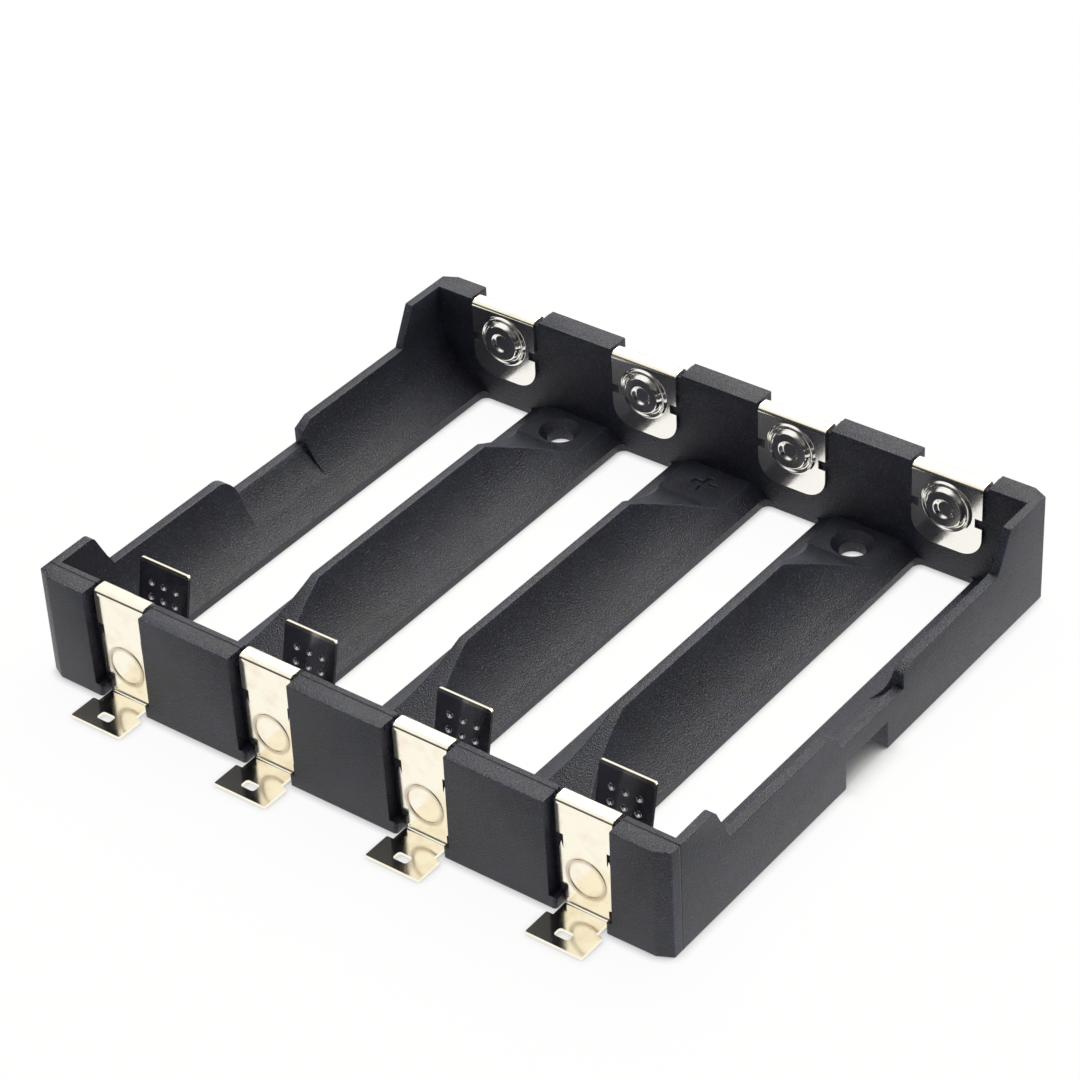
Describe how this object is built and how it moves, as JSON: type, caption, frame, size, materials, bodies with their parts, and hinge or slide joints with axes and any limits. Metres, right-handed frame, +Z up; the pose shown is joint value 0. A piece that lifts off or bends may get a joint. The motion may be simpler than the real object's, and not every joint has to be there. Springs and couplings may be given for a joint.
{
  "type": "battery holder",
  "caption": "Low surface-mount holder for cylindrical cells side by side, with folded spring and button contacts, solder tabs and countersunk screw holes.",
  "frame": {"origin": "middle of the base, on the board's surface", "axes": "+X across the bays, +Y along the cells from the spring contacts to the button contacts, +Z up"},
  "size_m": [0.0908, 0.0888, 0.0149],
  "materials": {
    "housing": "matte black moulded plastic with a fine grain",
    "contact": "bright nickel plating on spring steel"
  },
  "bodies": {
    "root": {"housing": "housing", "spring_contact_1": "contact", "spring_contact_2": "contact", "spring_contact_3": "contact", "spring_contact_4": "contact", "button_contact_1": "contact", "button_contact_2": "contact", "button_contact_3": "contact", "button_contact_4": "contact"}
  },
  "joints": []
}
